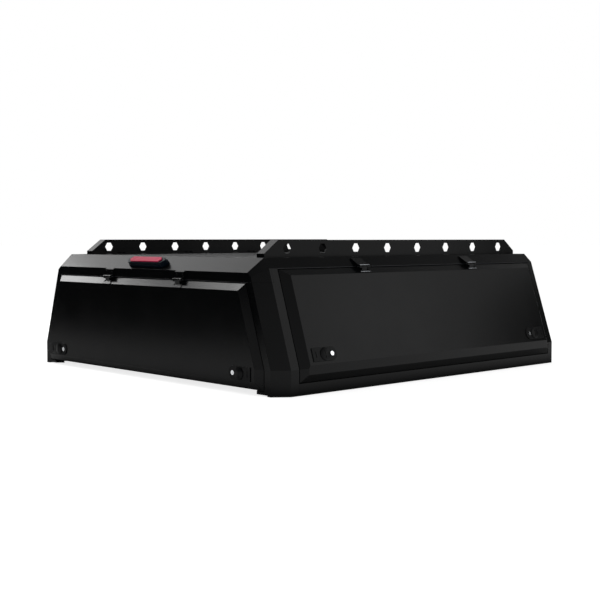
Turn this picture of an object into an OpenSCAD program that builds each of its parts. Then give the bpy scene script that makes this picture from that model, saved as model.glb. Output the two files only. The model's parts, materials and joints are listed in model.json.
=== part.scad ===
// Pickup bed canopy: pressed sheet-metal shell, two gull-wing side hatches, a rear hatch,
// roof rails with hexagonal accessory holes, turn locks, gas struts and a high brake lamp.
// Millimetres. X runs across the truck, Y along it (rear at -Y), Z up from the bed rails.

/* [Body] */
// overall width over the vertical skirt
body_w = 1540; // [1300:10:1800]
// overall length from rear plane to front plane
body_l = 1580; // [1300:10:2000]
// height of the vertical skirt
skirt_h = 90; // [60:1:120]
// inward lean of the side wall above the skirt, degrees
lean = 18.06; // [10:0.01:22]
// height where the side wall meets the roof edge slope
side_top = 432; // [400:1:520]
// height of the roof skin
roof_z = 467; // [450:1:560]
// horizontal run of the roof edge slope
edge_run = 37.5; // [25:0.5:60]
// height of the lower edge of the rear header slope
header_z = 417; // [395:1:500]
// run of the rear header slope along the truck
header_run = 62; // [40:1:90]
// sheet thickness of the pressings
sheet = 2; // [1.2:0.1:3]
// foam gasket between canopy and bed rails
gasket_t = 4; // [2:0.5:8]

/* [Corner post] */
// corner chamfer measured across the truck
cham_x = 43; // [25:1:60]
// corner chamfer measured along the truck
cham_y = 54; // [30:1:80]
// rear-facing strip between chamfer and rear hatch
rear_strip = 32; // [20:1:50]
// side strip behind the chamfer, from the rear plane to the side hatch
side_strip = 92; // [75:1:140]
// side strip between the side hatch and the front plane
front_strip = 28; // [20:1:60]

/* [Hatches] */
// clear gap around each hatch
gap = 3; // [2:0.1:5]
// height that the hatch panels stand proud of the body
proud = 20; // [10:0.5:30]
// depth of the hatch rim behind the body surface
rim = 10; // [8:0.5:14]
// lower edge of the side hatch opening
sill_z = 41.5; // [30:0.5:60]
// run of the front and rear bevels of a side hatch
bevel_y = 33; // [20:1:50]
// height of the lower bevel of a side hatch
bevel_low = 26; // [15:1:40]
// how far the upright lower strip of a side hatch lies behind its proud face
strip_back = 3.2; // [0:0.1:6]
// height of the upper bevel of a side hatch
bevel_top = 19; // [10:1:30]
// top of the rear hatch opening
rear_open_z = 384; // [350:1:405]
// height of the upper bevel of the rear hatch
rear_bevel_top = 24; // [15:1:35]
// run of the side bevels of the rear hatch
rear_bevel_side = 26; // [10:1:34]
// lower edge of the rear hatch
rear_low_z = 18; // [12:1:40]
// height of the lower return of the rear hatch
rear_bevel_low = 26; // [10:1:30]
// depth of the rebate that the hatches close into
rebate = 26; // [22:1:34]
// width of the seal flange around each opening
flange = 25; // [18:1:35]
// opening angle of the side hatches, degrees
side_open = 70; // [40:1:72]
// opening angle of the rear hatch, degrees
rear_open = 70; // [40:1:72]

/* [Hinges] */
// width of one hinge strap
strap_w = 53; // [40:1:70]
// thickness of a hinge strap
strap_t = 4; // [3:0.5:6]
// outer radius of a hinge knuckle
knuckle_r = 7; // [6:0.5:9]
// radius of a hinge pin
pin_r = 3; // [2.5:0.1:4]
// radial running clearance of pins and shafts
run_fit = 0.05; // [0.02:0.01:0.1]
// distance of a side hinge axis outside the wall
axis_out = 14; // [12:0.5:18]
// length of a side frame leaf up the roof edge slope
slope_leaf = 40; // [30:1:46]
// thickness of a rear frame leaf
rear_leaf_t = 6; // [4:0.5:8]
// distance of the rear hinge axis behind the rear plane
rear_axis_out = 12; // [10:0.5:15]
// hinge offset from the middle of a side hatch
side_hinge_y = 316; // [250:1:420]
// hinge offset from the middle of the rear hatch
rear_hinge_x = 230; // [180:1:300]

/* [Roof rails] */
// distance of a rail web from the edge of the roof skin
rail_in = 49; // [40:1:120]
// rail height above the roof
rail_h = 62; // [50:1:80]
// rail start, measured from the rear plane
rail_start = 108; // [90:1:140]
// rail end, measured back from the front plane
rail_end = 14; // [10:1:60]
// run of the sloped rail ends
rail_slope = 66; // [50:1:90]
// height of the upright part of a rail end
rail_nose = 14; // [8:1:20]
// width of the folded rail flange
rail_flange = 40; // [30:1:50]
// rail sheet thickness
rail_t = 3; // [2:0.5:4]
// number of hexagonal holes in a rail
hex_count = 8; // [4:1:9]
// corner radius of a hexagonal hole
hex_r = 20; // [15:0.5:24]
// share of the rail length covered by the row of holes
hex_share = 0.85; // [0.6:0.01:0.9]

/* [Locks] */
// length of a lock plate
plate_l = 115; // [100:1:130]
// height of a lock plate
plate_h = 49; // [44:1:56]
// thickness of a lock plate
plate_t = 3; // [2.5:0.5:6]
// knob radius
knob_r = 23; // [18:0.5:23.5]
// knob height above its plate
knob_h = 5; // [4:0.5:9]
// lock spindle radius
spindle_r = 6; // [5:0.1:8]
// lock knob distance from the square end of its plate
knob_at = 59; // [50:1:65]
// key cylinder distance from the square end of its plate
key_at = 93; // [88:1:98]
// key cylinder radius
key_r = 8; // [6:0.1:9]
// side lock height above the bed rails
lock_z = 136; // [120:1:200]
// gap from a hatch's upright bevel to its lock plates
lock_inset = 19; // [10:1:60]
// rear lock height above the bed rails
rear_lock_z = 71; // [66:1:120]
// length of a lock cam
cam_l = 100; // [98:1:104]

/* [Gas struts] */
// pivot radius of the side struts about their hinge
side_strut_r = 200; // [190:1:210]
// pivot radius of the rear struts about their hinge
rear_strut_r = 200; // [180:1:220]
// angle between the two pivots with the hatch shut, degrees
strut_angle = 75; // [70:1:80]
// radius of a strut cylinder
cyl_r = 9; // [7:0.5:11]
// radius of a strut rod
rod_r = 4; // [3:0.5:5]
// radius of a strut pivot stud
stud_r = 4; // [3:0.5:5]
// depth of the strut pivots behind the hatch axis plane
strut_in = 45; // [40:1:60]
// side strut distance from the end of its opening
side_strut_end = 45; // [40:1:60]
// rear strut distance from the upper corner of its opening
rear_strut_end = 186; // [160:1:250]

/* [Brake lamp] */
// lamp length
lamp_l = 250; // [200:2:320]
// lamp height on the header slope
lamp_h = 39; // [34:1:50]
// lamp depth
lamp_d = 26; // [18:1:30]
// lower edge of the lamp above the crease of the header
lamp_low = 11; // [6:1:16]
// lens end inside the end of the lamp
lens_in = 24; // [16:1:34]

/* [Base] */
// width of the bed rail flange
base_flange = 60; // [45:1:80]
// radius of a bed rail bolt hole
bolt_r = 4.5; // [3:0.1:6]
// bolt distance from each end
bolt_end = 190; // [120:5:300]
// bolt distance from the outer edge of the skirt
bolt_in = 38; // [30:1:50]
// inset of the header slope corner from the chamfer edge
corner_in = 14; // [6:1:24]

/* [Hidden] */
$fn = 48;
big = 4000;
seat = 0.3;
half_w = body_w / 2;
y_rear = -body_l / 2;
y_front = body_l / 2;
lean_t = tan(lean);
lean_c = cos(lean);
wall_top = half_w - (side_top - skirt_h) * lean_t;
roof_half = wall_top - edge_run;
// side hatch opening
side_y0 = y_rear + side_strip;
side_y1 = y_front - front_strip;
side_mid = (side_y0 + side_y1) / 2;
// hinge axes
side_axis_z = side_top - 1;
rear_axis_y = y_rear - rear_axis_out;
rear_axis_z = rear_open_z - 1;
// strut pivots, measured from the hinge axis: hatch pivot and frame pivot at equal radius
side_door_dir = lean - asin(strut_in / side_strut_r);
side_frame_dir = side_door_dir - strut_angle;
rear_door_dir = asin(strut_in / rear_strut_r);
rear_frame_dir = rear_door_dir + strut_angle;
// holes of the roof rail
rail_y0 = y_rear + rail_start;
rail_y1 = y_front - rail_end;
rail_len = rail_y1 - rail_y0;
hex_pitch = rail_len * hex_share / (hex_count - 1);
rail_x = roof_half - rail_in;
rail_web = rail_x - rail_t;
header_tilt = atan2(roof_z - header_z, header_run);
edge_tilt = atan2(roof_z - side_top, edge_run);

// half-width of the body at height z, on a surface inset by i
function kink_z(i) = skirt_h - i * tan(lean / 2);
function wall(z, i) =
  z <= kink_z(i) ? half_w - i : half_w - i / lean_c - (z - skirt_h) * lean_t;
function unit(v) = v / norm(v);
function side_normal(a, b) = let (u = unit(b - a)) [u[1], -u[0]];
// a path moved sideways by d, with mitred corners
function shift_path(p, d) = [
  for (k = [0:len(p) - 1])
    let (
      n1 = side_normal(p[max(k - 1, 0)], p[max(k, 1)]),
      n2 = side_normal(p[min(k, len(p) - 2)], p[min(k + 1, len(p) - 1)])
    )
    p[k] + d * (n1 + n2) / (1 + n1 * n2)
];
function flip(p) = [for (k = [len(p) - 1:-1:0]) p[k]];
function mirrored(p) = [for (q = flip(p)) [-q[0], q[1]]];
function section_path(z0) = [
  [half_w, z0], [half_w, skirt_h], [wall_top, side_top], [roof_half, roof_z], [0, roof_z]
];
function long_path(z0) = [
  [y_rear, z0], [y_rear, header_z], [y_rear + header_run, roof_z], [y_front, roof_z], [y_front, z0]
];
// wall line between two heights on a surface inset by i
function wall_line(z0, z1, i) = [[wall(z0, i), z0], [wall(kink_z(i), i), kink_z(i)], [wall(z1, i), z1]];
// edge of the rear opening, moved out by e
function rear_edge(z, e) = wall(z, 0) - cham_x - rear_strip + e;
function rear_line(z0, z1, e) = [
  [rear_edge(z0, e), z0], [rear_edge(skirt_h, e), skirt_h], [rear_edge(z1, e), z1]
];
function turned(r, a) = [r * sin(a), -r * cos(a)];

module along_y(y0, y1) {
  translate([0, y1, 0]) rotate([90, 0, 0]) linear_extrude(y1 - y0) children();
}

module along_x(x0, x1) {
  translate([x0, 0, 0]) rotate([90, 0, 90]) linear_extrude(x1 - x0) children();
}

module box(x0, x1, y0, y1, z0, z1) {
  translate([x0, y0, z0]) cube([x1 - x0, y1 - y0, z1 - z0]);
}

// everything beyond the plane through p with outward normal n, moved in by i
module beyond(p, n, i) {
  translate(p - i * unit(n))
    rotate([0, -asin(n[2] / norm(n)), atan2(n[1], n[0])])
      translate([0, -big / 2, -big / 2]) cube([big, big, big]);
}

module both() {
  children();
  mirror([1, 0, 0]) children();
}

// chamfered rear corner: skirt plane, leaning plane and top facet
module corner_cuts(i) {
  p = [half_w - cham_x, y_rear, skirt_h];
  d = [wall(header_z, 0) - cham_x - corner_in, y_rear, header_z];
  c = [roof_half, y_rear + header_run, roof_z];
  s = [wall_top, y_rear + cham_y, side_top];
  beyond(p, [1 / cham_x, -1 / cham_y, 0], i);
  beyond(p, [1 / cham_x, -1 / cham_y, lean_t / cham_x], i);
  beyond(d, cross(s - d, c - d), i);
}

// body outline inset by i, from height z0 up
module envelope(i, z0) {
  right = shift_path(section_path(z0), -i);
  difference() {
    intersection() {
      along_y(y_rear - 1, y_front + 1) polygon(concat(right, mirrored(right)));
      along_x(-half_w - 1, half_w + 1) polygon(shift_path(long_path(z0), i));
    }
    both() corner_cuts(i);
  }
}

module shell() {
  difference() {
    envelope(0, gasket_t);
    envelope(sheet, 0);
  }
}

// strip of wall between two insets and two heights, as a section
module wall_band(z0, z1, i0, i1) {
  polygon(concat(wall_line(z0, z1, i0), flip(wall_line(z0, z1, i1))));
}

module bolt_holes() {
  for (sx = [-1, 1], sy = [-1, 1])
    translate([sx * (half_w - bolt_in), sy * (body_l / 2 - bolt_end), -1]) cylinder(r=bolt_r, h=20);
}

// positions of the rail bolts along one rail
module at_rail_bolts() {
  for (share = [0.12, 0.37, 0.63, 0.88])
    translate([rail_web - rail_flange / 2, rail_y0 + rail_len * share, roof_z]) children();
}

module roof_panel() {
  color("#26272a") difference() {
    intersection() {
      shell();
      box(-big, big, y_rear + header_run, y_front + 1, side_top, roof_z + 1);
    }
    both() at_rail_bolts() translate([0, 0, -20]) cylinder(r=4 + seat, h=40);
  }
}

module rear_header() {
  color("#2a2b2e") intersection() {
    shell();
    box(-big, big, y_rear - 1, y_rear + header_run, rear_open_z, roof_z + 1);
  }
}

module front_panel() {
  color("#2a2b2e") {
    intersection() {
      shell();
      box(-big, big, side_y1, y_front + 1, 0, side_top);
    }
    both() along_y(side_y1, side_y1 + sheet) wall_band(gasket_t, side_top, 0, rebate + sheet);
    box(-half_w, half_w, side_y1, y_front, gasket_t, gasket_t + sheet);
  }
}

module right_corner_post() {
  foot_w = 40;
  foot_x = rear_edge(0, 0);
  back_x = foot_x - foot_w - rebate;
  back_y = y_rear + rebate;
  color("#2d2e31") {
    difference() {
      intersection() {
        shell();
        box(0, big, y_rear - 1, side_y0, 0, side_top);
      }
      box(0, big, y_rear - 2, y_rear + header_run, rear_open_z, roof_z);
      along_y(y_rear - 2, y_rear + sheet + 2)
        polygon(concat([[0, -1]], rear_line(-1, roof_z, 0), [[0, roof_z]]));
    }
    along_y(y_rear, y_rear + rebate + sheet)
      polygon(concat(rear_line(gasket_t, rear_open_z, 0), flip(rear_line(gasket_t, rear_open_z, sheet))));
    along_y(side_y0 - sheet, side_y0) wall_band(gasket_t, side_top, 0, rebate + sheet);
    intersection() {
      envelope(0, gasket_t);
      box(rear_edge(0, 0), big, y_rear, side_y0, 0, gasket_t + sheet);
    }
    translate([0, 0, gasket_t]) linear_extrude(sheet)
      polygon([[foot_x - foot_w, y_rear], [foot_x + sheet, y_rear], [foot_x + sheet, back_y + sheet],
        [back_x, back_y + sheet], [back_x, back_y - sheet]]);
    box(foot_x - foot_w, foot_x + sheet, y_rear, y_rear + sheet, gasket_t, rear_low_z - gap);
    box(back_x, foot_x + sheet, back_y - sheet, back_y, gasket_t, rear_low_z + 5);
  }
}

module left_corner_post() {
  mirror([1, 0, 0]) right_corner_post();
}

module right_sill() {
  color("#2d2e31") difference() {
    union() {
      intersection() {
        shell();
        box(0, big, side_y0, side_y1, 0, sill_z);
      }
      box(half_w - rebate - sheet, half_w, side_y0, side_y1, sill_z - sheet, sill_z);
      box(half_w - base_flange, half_w, side_y0, side_y1, gasket_t, gasket_t + sheet);
    }
    bolt_holes();
  }
}

module left_sill() {
  mirror([1, 0, 0]) right_sill();
}

// rebate flange that the side hatch seals against
module right_door_jamb() {
  z1 = side_top - sheet;
  color("#202124") {
    difference() {
      along_y(side_y0, side_y1) wall_band(sill_z, z1, rebate, rebate + sheet);
      along_y(side_y0 + flange, side_y1 - flange)
        wall_band(sill_z + flange, z1 - flange, rebate - 1, rebate + sheet + 1);
    }
    along_y(side_y0, side_y1)
      polygon([[wall(z1, 0), z1], [wall(side_top, 0), side_top],
        [wall(side_top, rebate + sheet), side_top], [wall(z1, rebate + sheet), z1]]);
  }
}

module left_door_jamb() {
  mirror([1, 0, 0]) right_door_jamb();
}

module rear_door_jamb() {
  z1 = rear_open_z - sheet;
  outer = rear_line(gasket_t + sheet, z1, 0);
  inner = rear_line(0, z1 - flange, -flange);
  color("#202124") {
    difference() {
      along_y(y_rear + rebate, y_rear + rebate + sheet) polygon(concat(outer, mirrored(outer)));
      along_y(y_rear, y_rear + rebate + sheet + 1) polygon(concat(inner, mirrored(inner)));
    }
    along_y(y_rear, y_rear + rebate + sheet)
      polygon([[-rear_edge(z1, 0), z1], [rear_edge(z1, 0), z1],
        [rear_edge(rear_open_z, 0), rear_open_z], [-rear_edge(rear_open_z, 0), rear_open_z]]);
  }
}

// channel ribs under the roof, open side up
bow_w = 100;
bow_h = 25;
bow_half = roof_half - 25;
bow_y = [side_y0 + side_strut_end, side_mid, side_y1 - side_strut_end];
bow_z = roof_z - sheet - bow_h;

module roof_bows() {
  color("#3a3b3e") for (y = bow_y) difference() {
    box(-bow_half, bow_half, y - bow_w / 2, y + bow_w / 2, bow_z, roof_z - sheet);
    box(-big, big, y - bow_w / 2 + sheet, y + bow_w / 2 - sheet, bow_z + sheet, roof_z);
  }
}

function rail_path(z0) = [
  [rail_y0, z0], [rail_y0, roof_z + rail_nose], [rail_y0 + rail_slope, roof_z + rail_h],
  [rail_y1 - rail_slope, roof_z + rail_h], [rail_y1, roof_z + rail_nose], [rail_y1, z0]
];

module right_roof_rail() {
  color("#2b2c2f") difference() {
    along_x(rail_x - rail_flange, rail_x) polygon(rail_path(roof_z));
    along_x(rail_x - rail_flange - 1, rail_web) polygon(shift_path(rail_path(roof_z + rail_t), rail_t));
    for (k = [0:hex_count - 1])
      along_x(rail_web - 1, rail_x + 1)
        translate([(rail_y0 + rail_y1) / 2 + (k - (hex_count - 1) / 2) * hex_pitch, roof_z + rail_h / 2])
          circle(r=hex_r, $fn=6);
    at_rail_bolts() cylinder(r=4 + seat, h=20, center=true);
  }
}

module left_roof_rail() {
  mirror([1, 0, 0]) right_roof_rail();
}

module rail_bolts() {
  color("#8b8d90") both() at_rail_bolts() {
    translate([0, 0, rail_t]) cylinder(r=8, h=5);
    translate([0, 0, -12]) cylinder(r=4, h=12 + rail_t + 1);
  }
}

// bar with pointed ends, half length l and half height h
module pointed_bar(l, h) {
  polygon([[-l, 0], [-l + h, -h], [l - h, -h], [l, 0], [l - h, h], [-l + h, h]]);
}

// outlines of the lamp and of its lens, inset by i
lens_h = lamp_h / 2 - 7;

module lamp_outline(i) {
  pointed_bar(lamp_l / 2 - 1.4 * i, lamp_h / 2 - i);
}

module lens_outline(i) {
  pointed_bar(lamp_l / 2 - lens_in - 1.4 * i, lens_h - i);
}

// lamp frame on the header slope: x across, y up the slope, z out
module on_header() {
  s = lamp_low + lamp_h / 2;
  translate([0, y_rear + s * cos(header_tilt), header_z + s * sin(header_tilt)])
    rotate([header_tilt, 0, 0]) children();
}

module brake_lamp_housing() {
  color("#16181f") on_header() difference() {
    union() {
      linear_extrude(lamp_d * 0.4) lamp_outline(0);
      linear_extrude(lamp_d - 4) lamp_outline(3);
    }
    translate([0, 0, 4]) linear_extrude(lamp_d) lens_outline(2);
  }
}

module brake_lamp_board() {
  color("#2f5a3a") on_header() translate([0, 0, 4]) {
    linear_extrude(2) lens_outline(3);
    for (k = [-4:4]) translate([k * lamp_l * 0.07 - 3, -3, 2]) cube([6, 6, 2]);
  }
}

module brake_lamp_lens() {
  color("#b03a48") on_header() translate([0, 0, lamp_d - 4]) {
    linear_extrude(4) lens_outline(0);
    translate([0, 0, -3]) linear_extrude(3) difference() {
      lens_outline(2 + seat);
      lens_outline(4);
    }
  }
}

module bed_gasket() {
  half = [
    [half_w, y_front], [half_w, y_rear + cham_y], [half_w - cham_x, y_rear],
    [half_w - base_flange, y_rear], [half_w - base_flange, side_y1]
  ];
  color("#141414") difference() {
    linear_extrude(gasket_t) polygon(concat(half, mirrored(half)));
    bolt_holes();
  }
}

// side hatch, right hand
door_top = side_top - sheet - gap;
door_low = sill_z + gap;
door_y0 = side_y0 + gap;
door_y1 = side_y1 - gap;
side_axis_x = wall(side_axis_z, -axis_out);
side_axis = [side_axis_x, side_axis_z];
side_normal_3d = [lean_c, 0, sin(lean)];

// upright strip below the fold where the leaning face of a side hatch ends
strip_x = half_w + proud - strip_back;
fold_z = skirt_h + (half_w + proud / lean_c - strip_x) / lean_t;

function side_door_path(i) = shift_path([
  [half_w, door_low], [strip_x, door_low + bevel_low], [strip_x, fold_z],
  [wall(door_top - bevel_top, -proud), door_top - bevel_top], [wall(door_top, 0), door_top]
], -i);

// hatch body inset by i, with its back at depth b
module side_door_solid(i, b) {
  p = [half_w, door_y0, skirt_h];
  q = [half_w, door_y1, skirt_h];
  difference() {
    along_y(door_y0 + i, door_y1 - i)
      polygon(concat(side_door_path(i), flip(wall_line(door_low + i, door_top - i, b))));
    beyond(p, [bevel_y, -proud, 0], i);
    beyond(p, bevel_y * side_normal_3d - [0, proud, 0], i);
    beyond(q, [bevel_y, proud, 0], i);
    beyond(q, bevel_y * side_normal_3d + [0, proud, 0], i);
  }
}

// children repeated at both ends of a side hatch
module both_ends() {
  children();
  at_front() children();
}

module at_front() {
  translate([0, 2 * side_mid, 0]) mirror([0, 1, 0]) children();
}

// lock frame on the right hatch, rear end: x along the plate, y up, z out
module on_side_lock() {
  translate([wall(lock_z, -proud), door_y0 + bevel_y + lock_inset, lock_z])
    rotate([0, -lean, 0]) rotate([90, 0, 90]) children();
}

// lock frame on the rear hatch, left end
module on_rear_lock() {
  translate([-rear_lock_x, y_rear - proud, rear_lock_z]) rotate([90, 0, 0]) children();
}

sleeve_t = 3;
sleeve_l = proud + 4;

module lock_outline() {
  square_l = plate_l - plate_h / 2;
  translate([0, -plate_h / 2]) square([square_l, plate_h]);
  translate([square_l, 0]) circle(r=plate_h / 2);
}

module lock_cutouts() {
  translate([knob_at, 0, -proud / 2]) cylinder(r=spindle_r + sleeve_t + seat, h=proud);
  translate([key_at, 0, -proud / 2]) cylinder(r=key_r + sleeve_t + seat, h=proud);
}

module spindle_cutout() {
  translate([knob_at, 0, -3 * proud]) cylinder(r=spindle_r + 2, h=3 * proud - sleeve_l);
}

module lock_plate() {
  difference() {
    union() {
      linear_extrude(plate_t) lock_outline();
      translate([knob_at, 0, -sleeve_l]) cylinder(r=spindle_r + sleeve_t, h=sleeve_l + 1);
      translate([key_at, 0, -sleeve_l]) cylinder(r=key_r + sleeve_t, h=sleeve_l + 1);
    }
    translate([knob_at, 0, -sleeve_l - 1]) cylinder(r=spindle_r + run_fit, h=sleeve_l + plate_t + 2);
    translate([key_at, 0, -sleeve_l + 3]) cylinder(r=key_r + run_fit, h=sleeve_l + plate_t + 2);
    translate([10, -plate_h * 0.22, plate_t / 2]) cube([7, plate_h * 0.44, plate_t]);
  }
}

// low domed knob with a finger rib, spindle and riveted cam
module lock_knob() {
  z0 = plate_t + 0.5;
  cam_z = proud + rebate + sheet + 3;
  cam_w = 22;
  edge_h = knob_h * 0.3;
  dome_h = knob_h * 0.55;
  dome_r = (knob_r * knob_r + dome_h * dome_h) / (2 * dome_h);
  rib_w = knob_r * 0.14;
  rib_l = knob_r * 1.2;
  translate([knob_at, 0, 0]) {
    intersection() {
      translate([0, 0, z0]) cylinder(r=knob_r, h=knob_h);
      translate([0, 0, z0 + edge_h + dome_h - dome_r]) sphere(r=dome_r);
    }
    translate([-rib_w / 2, -rib_l / 2, z0]) cube([rib_w, rib_l, knob_h]);
    translate([0, 0, -cam_z - 6]) cylinder(r=spindle_r, h=cam_z + 6 + z0 + 1);
    translate([-cam_w / 2, 0, -cam_z - 4]) cube([cam_w, cam_l, 4]);
    translate([0, 0, -cam_z - 4]) cylinder(r=cam_w / 2, h=4);
  }
}

module lock_key() {
  translate([key_at, 0, -sleeve_l + 4]) difference() {
    cylinder(r=key_r, h=sleeve_l + plate_t - 3);
    translate([-0.75, -key_r * 0.55, sleeve_l + plate_t - 6]) cube([1.5, key_r * 1.1, 10]);
  }
}

module right_door_skin() {
  color("#303134") difference() {
    side_door_solid(0, rim);
    side_door_solid(sheet, rim + 1);
    both_ends() on_side_lock() lock_cutouts();
  }
}

module right_door_liner() {
  i = sheet + seat;
  color("#232427") difference() {
    along_y(door_y0 + i, door_y1 - i) wall_band(door_low + i, door_top - i, rim - sheet, rim);
    both_ends() on_side_lock() spindle_cutout();
  }
}

module right_lock_plates() {
  color("#1d1e20") both_ends() on_side_lock() lock_plate();
}

// rubber ring between the jamb flange and the hatch rim
module right_door_seal() {
  z1 = side_top - sheet;
  m = 9;
  n = 21;
  color("#101010") difference() {
    along_y(side_y0 + m, side_y1 - m) wall_band(sill_z + m, z1 - m, rim + 1, rebate);
    along_y(side_y0 + n, side_y1 - n) wall_band(sill_z + n, z1 - n, rim, rebate + 1);
  }
}

module left_door_skin() {
  mirror([1, 0, 0]) right_door_skin();
}

module left_door_liner() {
  mirror([1, 0, 0]) right_door_liner();
}

module left_lock_plates() {
  mirror([1, 0, 0]) right_lock_plates();
}

module left_door_seal() {
  mirror([1, 0, 0]) right_door_seal();
}

// rear hatch
rear_top = rear_open_z - sheet - gap;
rear_lock_x = rear_edge(rear_lock_z, -gap) - rear_bevel_side - lock_inset;
rear_strut_x = rear_edge(rear_open_z, 0) - rear_strut_end;

// outline of the rear hatch seen from behind, inset by i, cut at heights z0 and z1
module rear_outline(i, z0, z1) {
  right = rear_line(z0, z1, -gap - i);
  polygon(concat(right, mirrored(right)));
}

module rear_door_solid(i, b) {
  p = [rear_edge(skirt_h, -gap), y_rear, skirt_h];
  n = rear_bevel_side / proud;
  face = shift_path([
    [y_rear, rear_low_z], [y_rear - proud, rear_low_z + rear_bevel_low],
    [y_rear - proud, rear_top - rear_bevel_top], [y_rear, rear_top]
  ], i);
  difference() {
    intersection() {
      along_x(-half_w, half_w)
        polygon(concat(face, [[y_rear + b, rear_top - i], [y_rear + b, rear_low_z + i]]));
      along_y(y_rear - proud - 1, y_rear + b) rear_outline(i, 0, roof_z);
    }
    both() {
      beyond(p, [1, -n, 0], i);
      beyond(p, [1, -n, lean_t], i);
    }
  }
}

module rear_door_skin() {
  color("#303134") difference() {
    rear_door_solid(0, rim);
    rear_door_solid(sheet, rim + 1);
    both() on_rear_lock() lock_cutouts();
  }
}

module rear_door_liner() {
  i = sheet + seat;
  color("#232427") difference() {
    along_y(y_rear + rim - sheet, y_rear + rim) rear_outline(i, rear_low_z + i, rear_top - i);
    both() on_rear_lock() spindle_cutout();
  }
}

module rear_lock_plates() {
  color("#1d1e20") both() on_rear_lock() lock_plate();
}

module rear_door_seal() {
  z1 = rear_open_z - sheet;
  color("#101010") difference() {
    along_y(y_rear + rim + 1, y_rear + rebate) rear_outline(9 - gap, rear_low_z + 6, z1 - 9);
    along_y(y_rear, y_rear + rebate + 1) rear_outline(21 - gap, 0, z1 - 21);
  }
}

// hinges: three knuckles on one pin, outer two on the frame, middle one on the hatch
mid_knuckle = strap_w / 2;
leaf_t = 2.5;
knuckle_gap = 0.8;

module at_side_hinges() {
  for (s = [-1, 1]) translate([0, side_mid + s * side_hinge_y, 0]) children();
}

module at_rear_hinges() {
  for (s = [-1, 1]) translate([s * rear_hinge_x, 0, 0]) children();
}

module right_hinge_frame_leaves() {
  foot = [wall_top, side_top];
  u = [-cos(edge_tilt), sin(edge_tilt)];
  n = [sin(edge_tilt), cos(edge_tilt)];
  color("#1b1c1e") at_side_hinges() difference() {
    along_y(-strap_w / 2, strap_w / 2) {
      polygon([foot + u, foot + slope_leaf * u, foot + slope_leaf * u + strap_t * n,
        side_axis + [-1, knuckle_r], side_axis, side_axis - [knuckle_r, -1]]);
      translate(side_axis) circle(r=knuckle_r);
    }
    along_y(-mid_knuckle / 2 - seat, mid_knuckle / 2 + seat)
      translate(side_axis) circle(r=knuckle_r + knuckle_gap);
    along_y(-strap_w, strap_w) translate(side_axis) circle(r=pin_r + run_fit);
  }
}

module right_hinge_door_leaves() {
  a4 = [wall(door_top, 0), door_top];
  a3 = [wall(door_top - bevel_top, -proud), door_top - bevel_top];
  u = unit(a3 - a4);
  inner = [a4 + 8 * u, a3];
  outer = shift_path(inner, -leaf_t);
  color("#1b1c1e") at_side_hinges() difference() {
    union() {
      along_y(-strap_w / 2, strap_w / 2) polygon(concat(inner, flip(outer)));
      along_y(-mid_knuckle / 2, mid_knuckle / 2) {
        polygon([outer[0], (outer[0] + outer[1]) / 2, side_axis + [knuckle_r, 0],
          side_axis - [0.7, 0.7] * knuckle_r]);
        translate(side_axis) circle(r=knuckle_r);
      }
    }
    along_y(-strap_w, strap_w) translate(side_axis) circle(r=pin_r + run_fit);
  }
}

module left_hinge_frame_leaves() {
  mirror([1, 0, 0]) right_hinge_frame_leaves();
}

module left_hinge_door_leaves() {
  mirror([1, 0, 0]) right_hinge_door_leaves();
}

rear_axis = [rear_axis_y, rear_axis_z];

module rear_hinge_frame_leaves() {
  y1 = y_rear - rear_leaf_t;
  color("#1b1c1e") at_rear_hinges() difference() {
    along_x(-strap_w / 2, strap_w / 2) {
      polygon([[y_rear, rear_axis_z + 4], [y_rear, header_z], [y1, header_z - rear_leaf_t * tan(header_tilt)],
        [y1, rear_axis_z + 9], rear_axis + [0, knuckle_r], rear_axis, rear_axis + [knuckle_r, 1]]);
      translate(rear_axis) circle(r=knuckle_r);
    }
    along_x(-mid_knuckle / 2 - seat, mid_knuckle / 2 + seat)
      translate(rear_axis) circle(r=knuckle_r + knuckle_gap);
    along_x(-strap_w, strap_w) translate(rear_axis) circle(r=pin_r + run_fit);
  }
}

module rear_hinge_door_leaves() {
  a4 = [y_rear, rear_top];
  a3 = [y_rear - proud, rear_top - rear_bevel_top];
  u = unit(a3 - a4);
  inner = [a4 + 4 * u, a3, a3 - [0, 8]];
  outer = shift_path(inner, leaf_t);
  color("#1b1c1e") at_rear_hinges() difference() {
    union() {
      along_x(-strap_w / 2, strap_w / 2) polygon(concat(inner, flip(outer)));
      along_x(-mid_knuckle / 2, mid_knuckle / 2) {
        polygon([outer[0], (outer[0] + outer[1]) / 2, rear_axis - [knuckle_r, 0],
          rear_axis + [0.7, -0.7] * knuckle_r]);
        translate(rear_axis) circle(r=knuckle_r);
      }
    }
    along_x(-strap_w, strap_w) translate(rear_axis) circle(r=pin_r + run_fit);
  }
}

module hinge_pins() {
  l = strap_w / 2 + 2;
  color("#a9abae") {
    both() at_side_hinges() along_y(-l, l) translate(side_axis) circle(r=pin_r);
    at_rear_hinges() along_x(-l, l) translate(rear_axis) circle(r=pin_r);
  }
}

// gas struts: equal pivot radii keep rod and cylinder in line at every opening angle
side_pivot = side_axis + turned(side_strut_r, side_door_dir);
side_anchor = side_axis + turned(side_strut_r, side_frame_dir);
rear_pivot = rear_axis + turned(rear_strut_r, rear_door_dir);
rear_anchor = rear_axis + turned(rear_strut_r, rear_frame_dir);
strut_y = side_y0 + side_strut_end;
eye_t = 10;
tab_t = 4;
tab_gap = 2;

module at_side_struts() {
  both_ends() translate([0, strut_y, 0]) children();
}

module on_side_anchor() {
  d = side_pivot - side_anchor;
  at_side_struts() translate([side_anchor[0], 0, side_anchor[1]])
    rotate([0, -atan2(d[1], d[0]), 0]) children();
}

module on_rear_anchor() {
  d = rear_pivot - rear_anchor;
  both() translate([rear_strut_x, rear_anchor[0], rear_anchor[1]])
    rotate([atan2(d[1], d[0]), 0, 0]) rotate([0, 0, 90]) children();
}

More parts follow.
